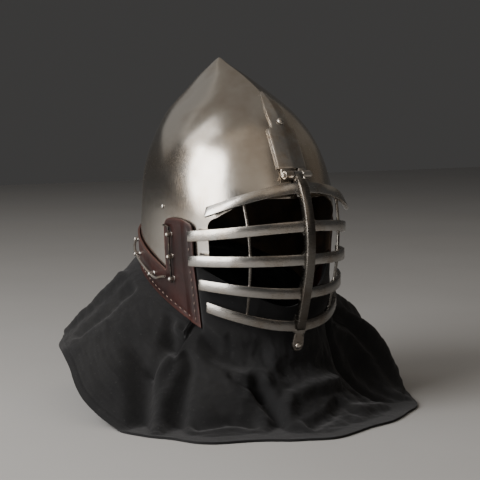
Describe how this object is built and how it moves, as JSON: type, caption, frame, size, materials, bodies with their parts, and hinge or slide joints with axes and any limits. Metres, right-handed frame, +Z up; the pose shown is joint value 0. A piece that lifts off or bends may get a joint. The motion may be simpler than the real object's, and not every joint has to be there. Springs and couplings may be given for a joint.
{
  "type": "grill bascinet with aventail",
  "caption": "Pointed steel helmet with a hinged visor of flat bars, a leather band on pierced posts and a black cloth neck cape, standing on its hem.",
  "frame": {"origin": "centre of the bounding box in plan, on the surface that the hem rests on", "axes": "+Z up, the face and the visor look along -Y, the wearer's right side is -X"},
  "size_m": [0.4519, 0.4898, 0.432],
  "materials": {
    "forged_steel": "hand polished, satin, with faint hammer unevenness and brown tarnish",
    "fitting_steel": "satin",
    "oxblood_leather": "dark oxblood, semi-gloss, stitched",
    "black_cloth": "matt black cotton or wool twill"
  },
  "bodies": {
    "helmet": {"skull": "forged_steel", "hinge_plate": "forged_steel", "hinge_pin": "forged_steel", "hinge_rivet": "forged_steel", "liner_rivet_right": "forged_steel", "liner_rivet_left": "forged_steel", "arm_post_right_1": "fitting_steel", "arm_post_right_2": "fitting_steel", "arm_post_right_3": "fitting_steel", "arm_post_left_1": "fitting_steel", "arm_post_left_2": "fitting_steel", "arm_post_left_3": "fitting_steel", "neck_post_1": "fitting_steel", "neck_post_2": "fitting_steel", "neck_post_3": "fitting_steel", "neck_post_4": "fitting_steel", "neck_post_5": "fitting_steel", "neck_post_6": "fitting_steel", "neck_post_7": "fitting_steel", "neck_post_8": "fitting_steel", "neck_post_9": "fitting_steel", "arm_rod_right": "fitting_steel", "arm_rod_left": "fitting_steel", "neck_rod": "fitting_steel", "leather_band": "oxblood_leather", "aventail_cape": "black_cloth"},
    "visor": {"visor_grill": "forged_steel", "tab_stud": "forged_steel"}
  },
  "joints": [
    {"name": "visor_hinge", "type": "hinge", "parent": "helmet", "child": "visor", "pos_m": [0, -0.13195, 0.2915], "axis": [-1, 0, 0], "range_deg": [0, 110]}
  ]
}
